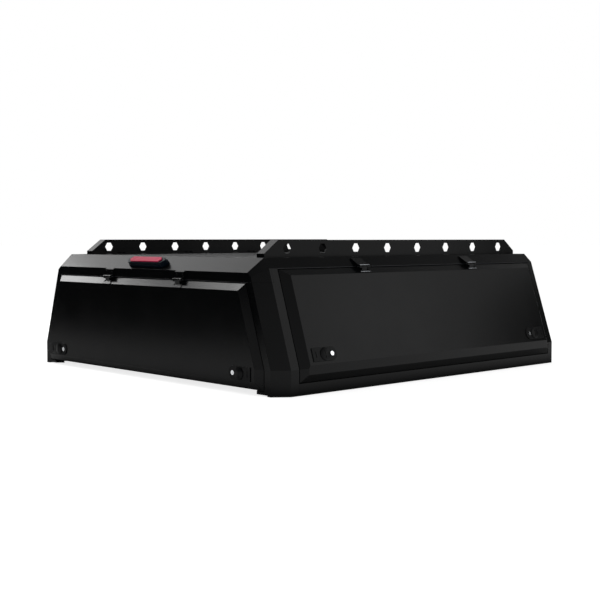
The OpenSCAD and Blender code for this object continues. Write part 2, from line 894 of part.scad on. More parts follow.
module eye() {
  rotate([90, 0, 0]) cylinder(r=cyl_r, h=eye_t, center=true);
}

module eye_bore() {
  rotate([90, 0, 0]) cylinder(r=stud_r + run_fit, h=eye_t + 2, center=true);
}

// cylinder along +X from its eye, for a strut of shut length l
module strut_cylinder(l) {
  difference() {
    union() {
      eye();
      translate([4, 0, 0]) rotate([0, 90, 0]) cylinder(r=6, h=16);
      translate([16, 0, 0]) rotate([0, 90, 0]) cylinder(r=cyl_r, h=l - 46);
    }
    eye_bore();
    translate([24, 0, 0]) rotate([0, 90, 0]) cylinder(r=rod_r + seat, h=l);
  }
}

module strut_rod(l) {
  difference() {
    union() {
      translate([l, 0, 0]) eye();
      translate([28, 0, 0]) rotate([0, 90, 0]) cylinder(r=rod_r, h=l - 28 - stud_r - 2);
      translate([l - 24, 0, 0]) rotate([0, 90, 0]) cylinder(r=6, h=18);
    }
    translate([l, 0, 0]) eye_bore();
  }
}

function shut_length(r) = 2 * r * sin(strut_angle / 2);

module right_strut_cylinders() {
  color("#17181a") on_side_anchor() strut_cylinder(shut_length(side_strut_r));
}

module right_strut_rods() {
  color("#c3c6ca") on_side_anchor() strut_rod(shut_length(side_strut_r));
}

module left_strut_cylinders() {
  mirror([1, 0, 0]) right_strut_cylinders();
}

module left_strut_rods() {
  mirror([1, 0, 0]) right_strut_rods();
}

module rear_strut_cylinders() {
  color("#17181a") on_rear_anchor() strut_cylinder(shut_length(rear_strut_r));
}

module rear_strut_rods() {
  color("#c3c6ca") on_rear_anchor() strut_rod(shut_length(rear_strut_r));
}

tab0 = eye_t / 2 + tab_gap;
tab1 = tab0 + tab_t;
tab_half = 22;

module right_strut_studs() {
  z0 = side_pivot[1] - tab_half;
  z1 = side_pivot[1] + tab_half;
  seat_line = [[wall(z0, rim), z0], [wall(z1, rim), z1]];
  color("#9a9da1") at_side_struts() {
    along_y(tab0, tab1)
      polygon(concat(seat_line, [side_pivot + [-stud_r, 9], side_pivot - [stud_r + 3, 9]]));
    along_y(tab0, tab1 + 20) polygon(concat(seat_line, flip(shift_path(seat_line, -tab_t))));
    along_y(-eye_t / 2 - 2, tab1) translate(side_pivot) circle(r=stud_r);
  }
}

module left_strut_studs() {
  mirror([1, 0, 0]) right_strut_studs();
}

module rear_strut_studs() {
  z0 = rear_pivot[1] - tab_half;
  z1 = rear_pivot[1] + tab_half;
  y0 = y_rear + rim;
  color("#9a9da1") both() translate([rear_strut_x, 0, 0]) {
    along_x(-tab1, -tab0)
      polygon([[y0, z0], [y0, z1], rear_pivot + [stud_r, 9], rear_pivot + [stud_r + 3, -9]]);
    along_x(-tab1 - 20, -tab0) polygon([[y0, z0], [y0, z1], [y0 + tab_t, z1], [y0 + tab_t, z0]]);
    along_x(-tab1, eye_t / 2 + 2) translate(rear_pivot) circle(r=stud_r);
  }
}

// tabs under the roof ribs that carry the strut cylinders
module strut_brackets() {
  reach = bow_y[0] + bow_w / 2;
  foot_l = bow_w / 2;
  color("#4a4c50") both() {
    at_side_struts() {
      along_y(tab0, tab1) polygon([side_anchor + [-9, -6], side_anchor + [9, -6],
        [side_anchor[0] + foot_l / 2, bow_z], [side_anchor[0] - foot_l / 2, bow_z]]);
      along_y(tab0, tab1 + 20) translate([side_anchor[0] - foot_l / 2, bow_z - tab_t])
        square([foot_l, tab_t]);
      along_y(-eye_t / 2 - 2, tab1) translate(side_anchor) circle(r=stud_r);
    }
    translate([rear_strut_x, 0, 0]) {
      along_x(-tab1, -tab0) polygon([rear_anchor + [-9, -6], rear_anchor + [7, -6], rear_anchor + [7, 8],
        [reach, bow_z], [reach - foot_l, bow_z]]);
      along_x(-tab1 - 20, -tab0) translate([reach - foot_l, bow_z - tab_t]) square([foot_l, tab_t]);
      along_x(-tab1, eye_t / 2 + 2) translate(rear_anchor) circle(r=stud_r);
    }
  }
}

module right_rear_knob() {
  color("#202225") on_side_lock() lock_knob();
}

module right_rear_key() {
  color("#d4d6d9") on_side_lock() lock_key();
}

module right_front_knob() {
  color("#202225") at_front() on_side_lock() lock_knob();
}

module right_front_key() {
  color("#d4d6d9") at_front() on_side_lock() lock_key();
}

module left_rear_knob() {
  color("#202225") mirror([1, 0, 0]) on_side_lock() lock_knob();
}

module left_rear_key() {
  color("#d4d6d9") mirror([1, 0, 0]) on_side_lock() lock_key();
}

module left_front_knob() {
  color("#202225") mirror([1, 0, 0]) at_front() on_side_lock() lock_knob();
}

module left_front_key() {
  color("#d4d6d9") mirror([1, 0, 0]) at_front() on_side_lock() lock_key();
}

module rear_left_knob() {
  color("#202225") on_rear_lock() lock_knob();
}

module rear_left_key() {
  color("#d4d6d9") on_rear_lock() lock_key();
}

module rear_right_knob() {
  color("#202225") mirror([1, 0, 0]) on_rear_lock() lock_knob();
}

module rear_right_key() {
  color("#d4d6d9") mirror([1, 0, 0]) on_rear_lock() lock_key();
}

roof_panel();
rear_header();
front_panel();
right_corner_post();
left_corner_post();
right_sill();
left_sill();
right_door_jamb();
left_door_jamb();
rear_door_jamb();
roof_bows();
right_roof_rail();
left_roof_rail();
rail_bolts();
brake_lamp_housing();
brake_lamp_lens();
brake_lamp_board();
right_door_seal();
left_door_seal();
rear_door_seal();
bed_gasket();
right_hinge_frame_leaves();
left_hinge_frame_leaves();
rear_hinge_frame_leaves();
hinge_pins();
strut_brackets();
right_door_skin();
right_door_liner();
right_hinge_door_leaves();
right_strut_studs();
right_lock_plates();
left_door_skin();
left_door_liner();
left_hinge_door_leaves();
left_strut_studs();
left_lock_plates();
rear_door_skin();
rear_door_liner();
rear_hinge_door_leaves();
rear_strut_studs();
rear_lock_plates();
right_strut_cylinders();
right_strut_rods();
left_strut_cylinders();
left_strut_rods();
rear_strut_cylinders();
rear_strut_rods();
right_rear_knob();
right_front_knob();
left_rear_knob();
left_front_knob();
rear_right_knob();
rear_left_knob();
right_rear_key();
right_front_key();
left_rear_key();
left_front_key();
rear_right_key();
rear_left_key();
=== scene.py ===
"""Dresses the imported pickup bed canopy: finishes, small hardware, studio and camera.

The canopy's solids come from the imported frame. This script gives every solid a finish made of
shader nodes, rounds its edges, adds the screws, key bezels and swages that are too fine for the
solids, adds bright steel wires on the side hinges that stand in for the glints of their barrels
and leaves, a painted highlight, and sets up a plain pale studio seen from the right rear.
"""

from __future__ import annotations

import json
import logging
import math
from dataclasses import dataclass, field
from enum import Enum
from typing import Any

import bmesh
import bpy
from mathutils import Matrix, Vector

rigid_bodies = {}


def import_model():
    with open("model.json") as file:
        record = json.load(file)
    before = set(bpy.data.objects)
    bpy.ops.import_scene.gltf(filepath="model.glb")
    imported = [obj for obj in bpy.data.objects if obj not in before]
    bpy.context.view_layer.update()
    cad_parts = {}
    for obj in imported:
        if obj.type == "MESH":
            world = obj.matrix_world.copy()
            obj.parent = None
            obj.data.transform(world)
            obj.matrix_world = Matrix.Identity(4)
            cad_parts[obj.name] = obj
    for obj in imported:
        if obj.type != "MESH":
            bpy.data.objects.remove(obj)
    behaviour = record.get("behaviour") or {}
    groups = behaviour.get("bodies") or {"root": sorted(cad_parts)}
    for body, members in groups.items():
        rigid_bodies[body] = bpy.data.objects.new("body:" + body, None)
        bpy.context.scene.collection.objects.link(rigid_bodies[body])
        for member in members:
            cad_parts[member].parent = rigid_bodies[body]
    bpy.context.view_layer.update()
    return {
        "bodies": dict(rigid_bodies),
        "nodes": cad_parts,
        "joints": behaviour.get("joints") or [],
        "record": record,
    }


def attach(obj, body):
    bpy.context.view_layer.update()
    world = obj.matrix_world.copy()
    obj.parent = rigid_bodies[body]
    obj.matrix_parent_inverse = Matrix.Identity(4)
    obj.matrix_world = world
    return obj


LOG = logging.getLogger("canopy")
Pair = tuple[float, float]
Triple = tuple[float, float, float]

MM = 0.001
# Points closer together than this, in metres, are one point.
SAME_POINT = 1e-6
# Edges of an added piece that turn by more than this stay sharp.
SHARP_EDGE = math.radians(35)
QUARTER_TURN = math.radians(90)
ACROSS = Vector((1, 0, 0))
ALONG = Vector((0, 1, 0))
FLIP_X = Matrix.Diagonal((-1, 1, 1, 1))


class Grain(Enum):
    """How the surface of a finish was made."""

    POWDER = "powder coat"
    MOULDED = "moulded"
    DRAWN = "drawn or brushed"
    RUBBER = "extruded rubber"


class Side(Enum):
    """Which hatch a piece of hardware belongs to."""

    RIGHT = "right"
    LEFT = "left"
    REAR = "rear"


def linear(hex_colour: str) -> tuple[float, float, float, float]:
    """Turns an sRGB hex colour into linear light.

    Args:
        hex_colour: Colour such as "#17181a".

    Returns:
        Linear red, green, blue and an alpha of 1.
    """
    parts = [int(hex_colour[k:k + 2], 16) / 255 for k in (1, 3, 5)]
    r, g, b = (c / 12.92 if c <= 0.04045 else ((c + 0.055) / 1.055) ** 2.4 for c in parts)
    return r, g, b, 1.0


def empty_material(name: str) -> bpy.types.Material:
    """Makes a material without any shader nodes.

    Args:
        name: Name of the material.

    Returns:
        The material.
    """
    mat = bpy.data.materials.new(name)
    mat.use_nodes = True
    mat.node_tree.nodes.clear()
    return mat


def add_node(tree: bpy.types.NodeTree, kind: str, settings: dict[str, Any] | None = None,
             links: dict[str | int, Any] | None = None) -> bpy.types.Node:
    """Adds one node with its settings and links.

    Args:
        tree: Node tree that gets the node.
        kind: Blender's name of the node type.
        settings: Node properties, or values of input sockets.
        links: Input socket to the output socket that feeds it.

    Returns:
        The new node.
    """
    node = tree.nodes.new(kind)
    for key, value in (settings or {}).items():
        if key in node.inputs:
            node.inputs[key].default_value = value
        else:
            setattr(node, key, value)
    for key, source in (links or {}).items():
        tree.links.new(source, node.inputs[key])
    return node


def strength_by_ray(tree: bpy.types.NodeTree, soft: float, mirrored: bpy.types.NodeSocket,
                    direct: float) -> bpy.types.NodeSocket:
    """Makes a strength that differs between the eye, mirror images and soft light.

    Args:
        tree: Node tree of a floor or a world.
        soft: Strength as a soft light.
        mirrored: Strength in a mirror image or through glass.
        direct: Strength as seen by the eye.

    Returns:
        The strength.
    """
    path = add_node(tree, "ShaderNodeLightPath").outputs
    mirror = add_node(tree, "ShaderNodeMath", {"operation": "MAXIMUM"},
                      {0: path["Is Glossy Ray"], 1: path["Is Transmission Ray"]}).outputs[0]
    level = add_node(tree, "ShaderNodeMapRange", {"To Min": soft},
                     {"Value": mirror, "To Max": mirrored}).outputs[0]
    return add_node(tree, "ShaderNodeMapRange", {"To Max": direct},
                    {"Value": path["Is Camera Ray"], "To Min": level}).outputs[0]


# Every finish has a broad mottling of its tint and gloss, and a fine grain in relief. A drawn
# grain is stretched into lines along the truck.
MOTTLE_SCALE = 6.0
MOTTLE_DETAIL = 4.0
MOTTLE_STOPS = (0.35, 0.68)
GLOSS_STOPS = (0.3, 0.7)
GLOSS_SWING = 0.1
GRAIN_DETAIL = 2.0
GRAIN_ROUGHNESS = 0.6
GRAIN_STRENGTH = 0.5
EVEN_GRAIN = (1.0, 1.0, 1.0)
DRAWN_GRAIN = (1.0, 0.04, 1.0)
COAT_ROUGHNESS = 0.15


@dataclass(frozen=True)
class Finish:
    """One real surface finish and the numbers that make it.

    Attributes:
        name: Common name of the material.
        light: Lighter hex colour of its slight mottling.
        dark: Darker hex colour of its slight mottling.
        grain: How the surface was made.
        grain_mm: Size of one grain or line.
        depth_mm: Height of the grain.
        roughness: Mean roughness.
        metallic: 1 for a bare metal.
        specular: Specular level, 0.5 for the plain value of the IOR.
        coat: Weight of a clear top coat.
    """

    name: str
    light: str
    dark: str
    grain: Grain
    grain_mm: float
    depth_mm: float
    roughness: float
    metallic: float = 0.0
    specular: float = 0.5
    coat: float = 0.0

    def material(self) -> bpy.types.Material:
        """Returns the material of this finish, made on first use."""
        return bpy.data.materials.get(self.name) or self._make()

    def _make(self) -> bpy.types.Material:
        """Builds the shader nodes of the finish.

        Returns:
            The new material.
        """
        mat = empty_material(self.name)
        tree = mat.node_tree
        where = add_node(tree, "ShaderNodeTexCoord").outputs["Object"]
        stretch = DRAWN_GRAIN if self.grain is Grain.DRAWN else EVEN_GRAIN
        turned = add_node(tree, "ShaderNodeMapping", {"Scale": stretch},
                          {"Vector": where}).outputs[0]
        fine = add_node(tree, "ShaderNodeTexNoise",
                        {"Scale": 1.0 / (self.grain_mm * MM), "Detail": GRAIN_DETAIL,
                         "Roughness": GRAIN_ROUGHNESS},
                        {"Vector": turned}).outputs["Fac"]
        broad = add_node(tree, "ShaderNodeTexNoise",
                         {"Scale": MOTTLE_SCALE, "Detail": MOTTLE_DETAIL},
                         {"Vector": where}).outputs["Fac"]
        tint = add_node(tree, "ShaderNodeValToRGB", {}, {"Fac": broad})
        stops = zip(tint.color_ramp.elements, MOTTLE_STOPS, (self.dark, self.light))
        for element, position, colour in stops:
            element.position = position
            element.color = linear(colour)
        rough = add_node(tree, "ShaderNodeMapRange",
                         {"From Min": GLOSS_STOPS[0], "From Max": GLOSS_STOPS[1],
                          "To Min": self.roughness * (1 - GLOSS_SWING),
                          "To Max": self.roughness * (1 + GLOSS_SWING)},
                         {"Value": broad}).outputs[0]
        bump = add_node(tree, "ShaderNodeBump",
                        {"Strength": GRAIN_STRENGTH, "Distance": self.depth_mm * MM},
                        {"Height": fine}).outputs[0]
        shader = add_node(tree, "ShaderNodeBsdfPrincipled",
                          {"Metallic": self.metallic, "Specular IOR Level": self.specular,
                           "Coat Weight": self.coat, "Coat Roughness": COAT_ROUGHNESS},
                          {"Base Color": tint.outputs["Color"], "Roughness": rough,
                           "Normal": bump}).outputs[0]
        add_node(tree, "ShaderNodeOutputMaterial", {}, {"Surface": shader})
        return mat


# Sprayed and baked polyester powder on steel: even black, soft broad highlight, fine orange-peel
# grain. The real grain is under 1 mm; it is drawn at 2.4 mm so that it shows.
POWDER = Finish("textured polyester powder coat", "#0a0b0c", "#08090a", Grain.POWDER,
                2.4, 0.05, 0.22, specular=0.11)
# The same coat on the inner pressings, flatter and in a lighter grey; the lighter grey is painted
# light for the dim inside.
POWDER_INNER = Finish("lightened inner polyester powder coat", "#2b2d30", "#232427", Grain.POWDER,
                      2.0, 0.08, 0.45, specular=0.3)
# E-coated hinge straps: thin, hard, even black.
HINGE_COAT = Finish("black e-coated steel", "#0a0b0c", "#08090a", Grain.POWDER,
                    1.6, 0.04, 0.24, specular=0.09)
# Die-cast zinc with semi-gloss black enamel.
LOCK_COAT = Finish("semi-gloss enamel on die-cast zinc", "#101112", "#0c0d0e", Grain.POWDER,
                   1.2, 0.03, 0.34, specular=0.1)
# Bright nickel-chrome plating on the key cylinders.
CHROME = Finish("bright chrome plating", "#e6e8ea", "#dcdee1", Grain.DRAWN,
                0.5, 0.005, 0.14, metallic=1.0)
# Ground and chromed strut rods, hinge pins, wires and stainless bolts.
BRIGHT_STEEL = Finish("ground bright steel", "#b9bcc0", "#a8abaf", Grain.DRAWN,
                      0.6, 0.01, 0.24, metallic=1.0)
# Zinc-plated brackets: grey, faintly mottled.
ZINC = Finish("zinc-plated steel", "#9fa3a8", "#8a8e93", Grain.DRAWN,
              1.0, 0.02, 0.38, metallic=1.0)
# Gloss-painted strut tube.
TUBE = Finish("gloss black tube paint", "#131415", "#0e0f10", Grain.POWDER,
              1.0, 0.01, 0.2, coat=0.3)
# EPDM sponge and bulb seal: dull, dusty black.
EPDM = Finish("extruded EPDM rubber", "#1b1b1b", "#131313", Grain.RUBBER,
              1.5, 0.08, 0.75, specular=0.25)
# Injection-moulded lamp housing, blue-black and glossy.
HOUSING = Finish("moulded gloss ABS", "#07141f", "#050f18", Grain.MOULDED,
                 1.0, 0.01, 0.25, specular=0.04)
# Pink-red acrylic lens.
LENS = Finish("moulded red acrylic", "#dc3a62", "#c62c50", Grain.MOULDED,
              3.0, 0.02, 0.3, specular=0.04)
# Glass-fibre circuit board with green solder mask.
BOARD = Finish("solder-masked glass-fibre board", "#2f5a3a", "#274c31", Grain.MOULDED,
               0.8, 0.01, 0.35)

FINISH_OF_SLOT: dict[str, Finish] = {
    "textured_black_steel": POWDER,
    "inner_steel": POWDER_INNER,
    "hinge_steel": HINGE_COAT,
    "epdm_rubber": EPDM,
    "chrome_plated_zinc": CHROME,
    "black_lock_casting": LOCK_COAT,
    "bright_steel": BRIGHT_STEEL,
    "zinc_plated_steel": ZINC,
    "black_painted_tube": TUBE,
    "lamp_housing_plastic": HOUSING,
    "red_lens_plastic": LENS,
    "circuit_board": BOARD,
}


@dataclass
class Solids:
    """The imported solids, which keep their shape and get rounded edges and a finish.

    Attributes:
        round_mm: Edge rounding by slot, in millimetres.
        plain: Nodes that keep their sharp edges, because four of their faces meet at one edge.
        weld: Corners of triangles closer together than this are joined.
        flat_angle: Triangles that turn by less than this make one flat face.
        round_angle: Edges that turn by more than this are rounded.
        round_steps: Steps of a rounded edge.
    """

    frame: dict[str, Any]
    round_mm: dict[str, float] = field(default_factory=lambda: {
        "textured_black_steel": 0.8,
        "inner_steel": 0.6,
        "hinge_steel": 0.8,
        "epdm_rubber": 3.0,
        "black_lock_casting": 0.8,
        "lamp_housing_plastic": 1.2,
        "red_lens_plastic": 0.4,
    })
    plain: frozenset[str] = frozenset({"rear_hinge_door_leaves"})
    weld: float = 1e-5
    flat_angle: float = math.radians(0.3)
    round_angle: float = math.radians(25)
    round_steps: int = 2

    def dress(self) -> None:
        """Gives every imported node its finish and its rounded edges."""
        slots = {s["node"]: s["material_slot"] for s in self.frame["record"]["subparts"]}
        for name, obj in self.frame["nodes"].items():
            slot = slots[name]
            self._paint(obj, FINISH_OF_SLOT[slot])
            if slot in self.round_mm and name not in self.plain:
                self._round(obj, self.round_mm[slot])
            LOG.info("solid %s: %s", name, FINISH_OF_SLOT[slot].name)

    @staticmethod
    def _paint(obj: bpy.types.Object, finish: Finish) -> None:
        """Puts one finish in every material slot of a node.

        Args:
            obj: The node.
            finish: Its finish.
        """
        for slot in obj.material_slots:
            slot.link = "OBJECT"
            slot.material = finish.material()

    def _round(self, obj: bpy.types.Object, width_mm: float) -> None:
        """Joins the node's loose triangles into whole faces and rounds its sharp edges.

        Args:
            obj: The node.
            width_mm: Width of the rounding.
        """
        join = obj.modifiers.new("join triangles", "WELD")
        join.merge_threshold = self.weld
        flats = obj.modifiers.new("whole flats", "DECIMATE")
        flats.decimate_type = "DISSOLVE"
        flats.angle_limit = self.flat_angle
        bevel = obj.modifiers.new("rounded edges", "BEVEL")
        bevel.width = width_mm * MM
        bevel.segments = self.round_steps
        bevel.limit_method = "ANGLE"
        bevel.angle_limit = self.round_angle
        bevel.harden_normals = True


@dataclass(frozen=True)
class Body:
    """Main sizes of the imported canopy, in metres, repeated from its solids.

    Attributes:
        half_w: Half the width over the skirt.
        y_rear: Rear plane.
        skirt: Height of the skirt.
        lean: Inward lean of the side walls, in radians.
        side_top: Top of the side walls.
        roof: Height of the roof.
        edge_run: Run of the slope between wall and roof.
        proud: Height of a hatch panel over the body.
        hatch_top: Upper edge of a side hatch.
        bevel_top: Height of its upper bevel.
        rear_top: Upper edge of the rear hatch.
        rear_bevel_top: Height of its upper bevel.
        hatch_mid: Middle of a side hatch along the truck.
        hatch_y: First and last edge of a side hatch along the truck.
        hinge_reach: Distance of a side hinge from the middle of its hatch.
    """

    half_w: float = 0.770
    y_rear: float = -0.790
    skirt: float = 0.090
    lean: float = math.radians(18.06)
    side_top: float = 0.432
    roof: float = 0.467
    edge_run: float = 0.0375
    proud: float = 0.020
    hatch_top: float = 0.427
    bevel_top: float = 0.019
    rear_top: float = 0.379
    rear_bevel_top: float = 0.024
    hatch_mid: float = 0.032
    hatch_y: Pair = (-0.695, 0.759)
    hinge_reach: float = 0.316

    def wall(self, z: float, inset: float) -> float:
        """Works out the half-width of a surface parallel to the side wall.

        Args:
            z: Height.
            inset: Depth of the surface behind the wall.

        Returns:
            The half-width at that height.
        """
        if z <= self.skirt - inset * math.tan(self.lean / 2):
            return self.half_w - inset
        return self.half_w - inset / math.cos(self.lean) - (z - self.skirt) * math.tan(self.lean)

    def wall_frame(self, y: float, z: float, inset: float) -> Matrix:
        """Works out a frame on a surface parallel to the right wall.

        Args:
            y: Place along the truck.
            z: Height.
            inset: Depth of the surface behind the wall.

        Returns:
            The frame, with x forward, y up the wall and z outwards.
        """
        c, s = math.cos(self.lean), math.sin(self.lean)
        axes = Matrix(((0, -s, c), (1, 0, 0), (0, c, s))).to_4x4()
        return Matrix.Translation((self.wall(z, inset), y, z)) @ axes


BODY = Body()


def on_left_side(places: list[Matrix]) -> list[Matrix]:
    """Returns the same places on the left side of the truck."""
    return [FLIP_X @ place for place in places]


def new_object(name: str, mesh: bmesh.types.BMesh,
               material: bpy.types.Material) -> bpy.types.Object:
    """Puts a finished bmesh into the scene.

    Args:
        name: Name of the object and its mesh.
        mesh: Its shape, already in place; it is freed.
        material: Its one material.

    Returns:
        The new object.
    """
    data = bpy.data.meshes.new(name)
    mesh.to_mesh(data)
    mesh.free()
    data.materials.append(material)
    obj = bpy.data.objects.new(name, data)
    bpy.context.scene.collection.objects.link(obj)
    return obj


def add_piece(name: str, mesh: bmesh.types.BMesh, finish: Finish, body: str) -> None:
    """Turns a finished bmesh into an object that rides on a body.

    Args:
        name: Piece name.
        mesh: Its shape, already in place; it is freed.
        finish: Its finish.
        body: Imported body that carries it.
    """
    bmesh.ops.remove_doubles(mesh, verts=mesh.verts, dist=SAME_POINT)
    bmesh.ops.recalc_face_normals(mesh, faces=mesh.faces)
    for face in mesh.faces:
        face.smooth = True
    obj = new_object(name, mesh, finish.material())
    obj.data.set_sharp_from_angle(angle=SHARP_EDGE)
    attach(obj, body)
    LOG.info("piece %s on %s: %s, %d faces", name, body, finish.name, len(obj.data.polygons))


def place_copies(shape: bmesh.types.BMesh, places: list[Matrix]) -> bmesh.types.BMesh:
    """Joins copies of one shape into a single bmesh.

    Args:
        shape: Shape about the origin; it is freed.
        places: Where each copy goes.

    Returns:
        The joined bmesh.
    """
    data = bpy.data.meshes.new("copy")
    shape.to_mesh(data)
    shape.free()
    joined = bmesh.new()
    for place in places:
        start = len(joined.verts)
        joined.from_mesh(data)
        joined.verts.ensure_lookup_table()
        bmesh.ops.transform(joined, matrix=place, verts=joined.verts[start:])
    bpy.data.meshes.remove(data)
    return joined


@dataclass(frozen=True)
class ScrewHead:
    """Low button-head screw with a round socket, standing on z = 0.

    Attributes:
        radius: Radius of the foot.
        height: Height of the head.
        top: Radius of the flat top, as a share of the foot's.
        rim: Width of the rim round the socket, as a share of the foot's radius.
        wall: Width of the socket's sloping wall, as a share of the foot's radius.
        socket: Depth of the socket, as a share of the height.
        sides: Sides of the round head.
    """

    radius: float = 0.0042
    height: float = 0.0020
    top: float = 0.72
    rim: float = 0.28
    wall: float = 0.04
    socket: float = 0.6
    sides: int = 24

    def mesh(self) -> bmesh.types.BMesh:
        """Makes the screw head.

        Returns:
            The screw head about the origin.
        """
        mesh = bmesh.new()
        bmesh.ops.create_cone(mesh, cap_ends=True, segments=self.sides, radius1=self.radius,
                              radius2=self.radius * self.top, depth=self.height)
        bmesh.ops.translate(mesh, verts=mesh.verts, vec=(0, 0, self.height / 2))
        top = max(mesh.faces, key=lambda f: f.calc_center_median().z)
        for share in (self.rim, self.wall):
            bmesh.ops.inset_region(mesh, faces=[top], thickness=self.radius * share)
        bmesh.ops.translate(mesh, verts=top.verts, vec=(0, 0, -self.height * self.socket))
        return mesh


@dataclass(frozen=True)
class Wire:
    """Short straight wire along y, with rounded ends.

    Attributes:
        radius: Radius of the wire.
        length: Length over its ends.
        rounding: Rounding of its ends, as a share of the radius.
        round_steps: Steps of that rounding.
        sides: Sides of the round wire.
    """

    radius: float = 0.0011
    length: float = 0.050
    rounding: float = 0.4
    round_steps: int = 2
    sides: int = 16

    def mesh(self) -> bmesh.types.BMesh:
        """Makes the wire.

        Returns:
            The wire about the origin.
        """
        mesh = bmesh.new()
        bmesh.ops.create_cone(mesh, cap_ends=True, segments=self.sides, radius1=self.radius,
                              radius2=self.radius, depth=self.length,
                              matrix=Matrix.Rotation(QUARTER_TURN, 4, "X"))
        ends = [e for e in mesh.edges if abs(e.verts[0].co.y - e.verts[1].co.y) < SAME_POINT]
        bmesh.ops.bevel(mesh, geom=ends, offset=self.radius * self.rounding, offset_type="OFFSET",
                        segments=self.round_steps, profile=0.5, affect="EDGES", material=-1)
        return mesh


@dataclass(frozen=True)
class Leaf:
    """One flat hinge leaf, given for a hinge at the middle of its row.

    Attributes:
        middle: Middle of its outer face.
        out: Direction out of that face.
        row: Direction along the hinge pin.
        spread: Distance of each screw from the middle of the leaf.
    """

    middle: Vector
    out: Vector
    row: Vector
    spread: float

    def screw_places(self, hinges: Pair) -> list[Matrix]:
        """Works out two screw places on the leaf of each hinge.

        Args:
            hinges: Places of the hinges along the row.

        Returns:
            Frames with z out of the leaf.
        """
        axes = Matrix((self.row, self.out.cross(self.row), self.out)).transposed().to_4x4()
        return [Matrix.Translation(self.middle + (h + s) * self.row) @ axes
                for h in hinges for s in (-self.spread, self.spread)]


